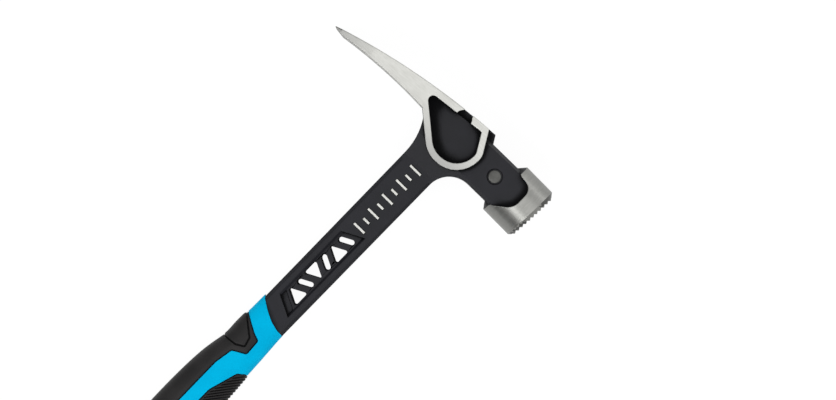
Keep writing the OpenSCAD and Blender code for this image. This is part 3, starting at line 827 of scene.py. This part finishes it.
def steel_kind(p, normal):
    """Which of the steel's finishes a face has."""
    if p.x > BARREL_BACK:
        teeth = p.x > TEETH_X
        # painted shade: the flanks of the teeth are nearly black, where they stand in each other's
        # shadow
        if teeth and abs(normal.x) < 0.9 and abs(normal.y) > 0.25:
            return TOOTH_SHADE
        junction = p.x < 47 and abs(p.z) < 13.2
        if teeth or barrel_distance(p) > POLL_R - 0.5 and not junction:
            return TURNED
        return PAINTED
    rim = abs(p.z) > HALF_HEAD - 0.45 and p.y > -30
    pocket_nose = p.x > -28.8 and 3.3 < p.y < 10.8 and abs(p.z) < 14.7
    claw = p.x < -24.5 and not pocket_nose
    throat = -7.5 < p.x < 2.5 and abs(p.z) < SLOT_SIDE
    top_edge = p.x < 13.5 and p.y > top_of_head(p.x) - 1.3 and not throat
    if rim or claw or top_edge:
        return GROUND
    if at_marks(p) and abs(p.z) > 6.85:
        return MARK
    wall = abs(normal.z) < 0.95
    # painted shade: the walls of the pin's ring and the claw side of the windows take the
    # near-black
    if wall and pin_distance(p) < PIN_RING_R:
        return PAINTED_SHADOW
    at_window = WINDOWS_LOW < p.y < WINDOWS_TOP and abs(p.x - SHANK_X) < HALF_WINDOW
    if wall and at_window and 4.2 < abs(p.z) < HALF_PANEL + 0.01 and claw_sided(normal) > 0.1:
        return PAINTED_SHADOW
    return PAINTED


finish_piece(forging, *STEEL_FINISHES)
for face in forging.data.polygons:
    face.material_index = steel_kind(local(face.center), face.normal)
black = rubber("black_pad", (0.0115, 0.011, 0.0112, 1), (0.0175, 0.0163, 0.0165, 1), 0.5)
for piece, material in (
        (sleeve, rubber("blue_sleeve", (0.0, 0.423, 0.72, 1), (0.0, 0.463, 0.778, 1), 0.55,
                        0.02, 0.3)),
        (back_pad, black),
        (finger_pad, black),
        (butt, rubber("black_butt", (0.013, 0.013, 0.013, 1), (0.018, 0.018, 0.018, 1), 0.55)),
        (pin, bare_steel("dull_pin_steel", (1.2, 1.2, 1.2), 0.085)),
        (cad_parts["starter_magnet"], bare_steel("nickel_plate", (1.5, 1.5, 1.5), 0.5)),
        (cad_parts["grip_core"],
         rubber("core_plastic", (0.03, 0.03, 0.032, 1), (0.04, 0.04, 0.042, 1), 0.5))):
    finish_piece(piece, material)

for piece, node, slot in (
        (forging, "forging", "forged_steel"), (sleeve, "grip_sleeve", "sleeve"),
        (back_pad, "back_pad", "pad"), (finger_pad, "finger_pad", "pad"),
        (butt, "butt_cap", "butt"), (pin, "cheek_pin", "pin_steel")):
    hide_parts(node)
    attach(piece, "root")

# Camera, table and light

# the camera looks straight down at the side, turned so that the hammer lies as in the photo
CAMERA_HEIGHT = 2.0
CAMERA_TURN = 44.2
aim = place(12.44, -43.22)
camera_data = bpy.data.cameras.new("camera")
camera_data.sensor_width = 36
camera_data.lens = 143.5
camera_data.clip_end = 20
camera = bpy.data.objects.new("camera", camera_data)
camera.location = aim + Vector((0, 0, CAMERA_HEIGHT))
camera.rotation_euler = (0, 0, math.radians(CAMERA_TURN))
bpy.context.scene.collection.objects.link(camera)
bpy.context.scene.camera = camera

bpy.ops.object.select_all(action="DESELECT")
bpy.ops.mesh.primitive_plane_add(size=6, location=(0, 0, -0.2 * MM))
table = bpy.context.object
table.name = "table"
settle()
top = Finish("pale_table")
matt = top.node("BsdfDiffuse", {}, {"Color": (0.9, 0.9, 0.9, 1)})
white = top.node("Emission", {}, {"Color": (1, 1, 1, 1), "Strength": 1.05})
seen = top.ray("Camera").most(top.ray("Transmission"))
mixed = top.node("MixShader", {}, {0: seen * 0.9 + top.ray("Glossy") * 0.45, 1: matt, 2: white})
top.node("OutputMaterial", {}, {"Surface": mixed})
table.data.materials.append(top.material)

# even light on the hammer, and in its reflections a studio that is brightest overhead
world = bpy.data.worlds.new("studio")
bpy.context.scene.world = world
studio = Nodes(world)
overhead = studio.node("VectorMath", {"operation": "DOT_PRODUCT"},
                       {0: studio.node("TexCoord", out="Generated"), 1: (0.1, 0.5, 1.0)},
                       out="Value")
to_camera = studio.ray("Camera")
glow = to_camera.most(studio.ease(overhead, -0.25, 0.95, 0.15, 1.0))
even = studio.node("Background", {}, {"Color": (1, 1, 1, 1), "Strength": 0.5})
reflected = studio.node("Background", {}, {"Color": glow, "Strength": 1.0})
direct = to_camera.most(studio.ray("Glossy")).most(studio.ray("Transmission"))
shown = studio.node("MixShader", {}, {0: direct, 1: even, 2: reflected})
studio.node("OutputWorld", {}, {"Surface": shown})


def lamp(name, spot, width, height, power):
    """A soft lamp that shines at the middle of the hammer, in metres and watts."""
    data = bpy.data.lights.new(name, "AREA")
    data.shape = "RECTANGLE"
    data.size = width
    data.size_y = height
    data.energy = power
    light = bpy.data.objects.new(name, data)
    light.location = aim + Vector(spot)
    light.rotation_euler = (aim - light.location).to_track_quat("-Z", "Y").to_euler()
    bpy.context.scene.collection.objects.link(light)


lamp("low_lamp", (0.05, -0.85, 1.2), 2.2, 0.35, 12)
lamp("top_lamp", (0.2, 0.4, 1.7), 1.4, 1.4, 5)
lamp("rim_lamp", (0.1, 1.6, 0.3), 1.6, 0.4, 3)

view = bpy.context.scene.view_settings
view.view_transform = "Standard"
